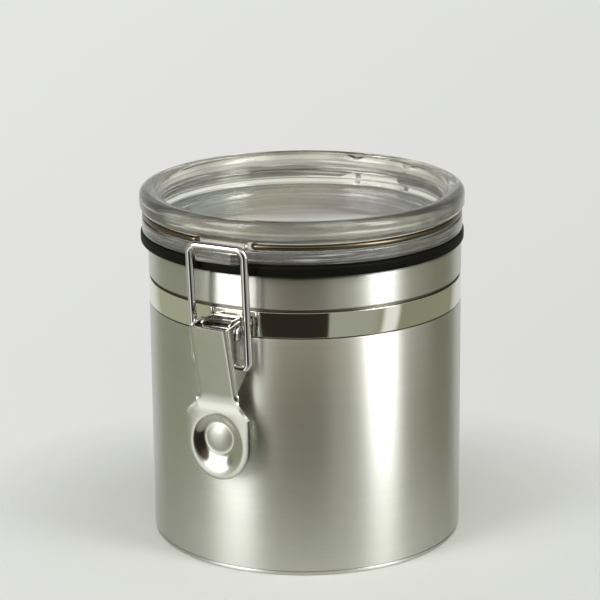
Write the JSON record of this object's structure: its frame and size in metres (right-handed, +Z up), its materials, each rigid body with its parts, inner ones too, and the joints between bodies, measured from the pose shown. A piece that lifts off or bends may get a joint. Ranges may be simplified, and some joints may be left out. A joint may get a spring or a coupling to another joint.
{
  "type": "clip-top tin",
  "caption": "Round brushed steel storage tin with a hinged clear lid, a black seal and a lever latch whose wire bail hooks over the lid.",
  "frame": {"origin": "middle of the foot that the tin stands on, on the can's axis", "axes": "+Z up along the can, -Y towards the latch, +Y towards the hinge, +X to the right of someone facing the latch"},
  "size_m": [0.127, 0.151, 0.1399],
  "materials": {
    "brushed_steel": "fine brushing round the can",
    "polished_steel": "polished stainless sheet",
    "chrome": "bright plated wire and sheet",
    "clear_acrylic": "clear moulded acrylic, polished",
    "black_rubber": "black silicone, satin"
  },
  "bodies": {
    "can": {"can_wall": "brushed_steel", "can_base": "brushed_steel", "strap": "polished_steel", "latch_bracket": "polished_steel", "pivot_rivet": "chrome", "hinge_bracket": "polished_steel"},
    "lever": {"lever": "chrome"},
    "bail": {"bail": "chrome"},
    "lid": {"lid": "clear_acrylic", "gasket": "black_rubber", "lid_wire": "chrome"}
  },
  "joints": [
    {"name": "lever_pivot", "type": "hinge", "parent": "can", "child": "lever", "pos_m": [0, -0.0672, 0.0974], "axis": [-1, 0, 0], "range_deg": [0, 95]},
    {"name": "bail_swing", "type": "hinge", "parent": "lever", "child": "bail", "pos_m": [0, -0.0657, 0.0835], "axis": [1, 0, 0], "range_deg": [0, 133]},
    {"name": "lid_hinge", "type": "hinge", "parent": "can", "child": "lid", "pos_m": [0, 0.0723, 0.12], "axis": [-1, 0, 0], "range_deg": [0, 110]}
  ],
  "couplings": [
    {"joint": "bail_swing", "follows": "lever_pivot", "ratio": 1.4}
  ]
}
